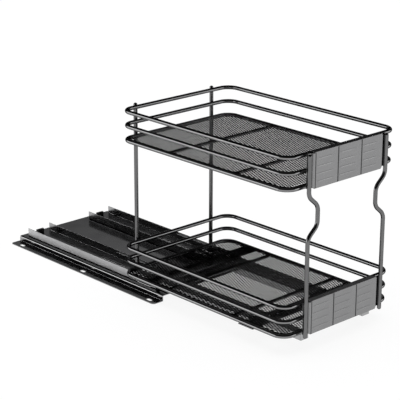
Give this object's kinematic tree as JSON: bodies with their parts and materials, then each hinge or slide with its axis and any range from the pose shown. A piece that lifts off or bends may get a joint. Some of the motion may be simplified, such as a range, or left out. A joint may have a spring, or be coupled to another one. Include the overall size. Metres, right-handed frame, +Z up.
{
  "type": "two-tier pull-out basket organizer",
  "caption": "Two-tier wire basket with mesh floors that slides out of a cabinet on telescopic channels, fixed through slots in a pressed base pan.",
  "frame": {"origin": "centre of the bounding box on the ground, with the basket fully pulled out", "axes": "+X the way the basket pulls out, +Y across to the far side, +Z up"},
  "size_m": [0.8188, 0.292, 0.3721],
  "materials": {
    "black_coat": "gloss black powder coat on wire and mesh",
    "grey_coat": "satin dark grey coat on the posts",
    "plate_coat": "satin grey coat on the pressed front plates",
    "pan_coat": "satin black coat on pressed sheet",
    "slide_coat": "satin black coat on the slide members",
    "glide_plastic": "matt black sliding plastic",
    "stop_rubber": "matt black rubber",
    "screw_zinc": "plain zinc plated steel"
  },
  "bodies": {
    "base": {"base_pan": "pan_coat", "near_fixed_channel": "slide_coat", "near_rear_stop": "stop_rubber", "near_channel_glide_inboard": "glide_plastic", "near_channel_glide_outboard": "glide_plastic", "far_fixed_channel": "slide_coat", "far_rear_stop": "stop_rubber", "far_channel_glide_inboard": "glide_plastic", "far_channel_glide_outboard": "glide_plastic"},
    "middle_slides": {"near_middle_slide": "slide_coat", "near_middle_rear_glide_inboard": "glide_plastic", "near_middle_rear_glide_outboard": "glide_plastic", "near_middle_front_glide_inboard": "glide_plastic", "near_middle_front_glide_outboard": "glide_plastic", "far_middle_slide": "slide_coat", "far_middle_rear_glide_inboard": "glide_plastic", "far_middle_rear_glide_outboard": "glide_plastic", "far_middle_front_glide_inboard": "glide_plastic", "far_middle_front_glide_outboard": "glide_plastic"},
    "basket_carriage": {"rear_cross_plate": "pan_coat", "front_cross_plate": "pan_coat", "near_inner_rail": "slide_coat", "near_rail_end": "slide_coat", "near_rear_post": "grey_coat", "near_front_post": "grey_coat", "near_rear_screw": "screw_zinc", "near_front_screw": "screw_zinc", "near_rail_glide_inboard": "glide_plastic", "near_rail_glide_outboard": "glide_plastic", "far_inner_rail": "slide_coat", "far_rail_end": "slide_coat", "far_rear_post": "grey_coat", "far_front_post": "grey_coat", "far_rear_screw": "screw_zinc", "far_front_screw": "screw_zinc", "far_rail_glide_inboard": "glide_plastic", "far_rail_glide_outboard": "glide_plastic", "lower_ring_bottom": "black_coat", "lower_ring_middle": "black_coat", "lower_ring_top": "black_coat", "lower_cross_wire_rear": "black_coat", "lower_cross_wire_front": "black_coat", "lower_mesh_floor": "black_coat", "lower_front_plate": "plate_coat", "upper_ring_bottom": "black_coat", "upper_ring_middle": "black_coat", "upper_ring_top": "black_coat", "upper_cross_wire_rear": "black_coat", "upper_cross_wire_front": "black_coat", "upper_mesh_floor": "black_coat", "upper_front_plate": "plate_coat"}
  },
  "joints": [
    {"name": "middle_slide_out", "type": "slide", "parent": "base", "child": "middle_slides", "axis": [1, 0, 0], "range_m": [-0.231, 0]},
    {"name": "basket_slide_out", "type": "slide", "parent": "middle_slides", "child": "basket_carriage", "axis": [1, 0, 0], "range_m": [-0.11, 0]}
  ]
}
